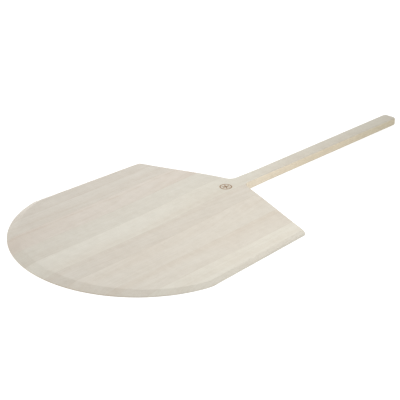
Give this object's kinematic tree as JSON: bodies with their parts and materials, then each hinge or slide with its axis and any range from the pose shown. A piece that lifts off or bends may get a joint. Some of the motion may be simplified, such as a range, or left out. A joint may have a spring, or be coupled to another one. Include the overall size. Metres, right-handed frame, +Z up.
{
  "type": "pizza peel",
  "caption": "Wooden pizza peel with a wide bevelled blade, round front edge, sloping shoulders and a slim flat handle, glued up from edge-joined boards.",
  "frame": {"origin": "middle of the flat underside's bounding box, so the peel lies on z = 0", "axes": "+Y along the handle from the blade's tip to the handle's end, +X across the blade, +Z up out of the blade's worked face"},
  "size_m": [0.508, 1.074, 0.018],
  "materials": {
    "centre_board_wood": "bare planed pale softwood, fine straight grain along the peel, matt",
    "far_board_1_wood": "bare planed pale softwood, fine straight grain along the peel, matt",
    "far_board_2_wood": "bare planed pale softwood, fine straight grain along the peel, matt",
    "far_board_3_wood": "bare planed pale softwood, fine straight grain along the peel, matt",
    "far_board_4_wood": "bare planed pale softwood, fine straight grain along the peel, matt",
    "near_board_1_wood": "bare planed pale softwood, fine straight grain along the peel, matt",
    "near_board_2_wood": "bare planed pale softwood, fine straight grain along the peel, matt",
    "near_board_3_wood": "bare planed pale softwood, fine straight grain along the peel, matt",
    "near_board_4_wood": "bare planed pale softwood, fine straight grain along the peel, matt"
  },
  "bodies": {
    "root": {"centre_board": "centre_board_wood", "far_board_1": "far_board_1_wood", "far_board_2": "far_board_2_wood", "far_board_3": "far_board_3_wood", "far_board_4": "far_board_4_wood", "near_board_1": "near_board_1_wood", "near_board_2": "near_board_2_wood", "near_board_3": "near_board_3_wood", "near_board_4": "near_board_4_wood"}
  },
  "joints": []
}
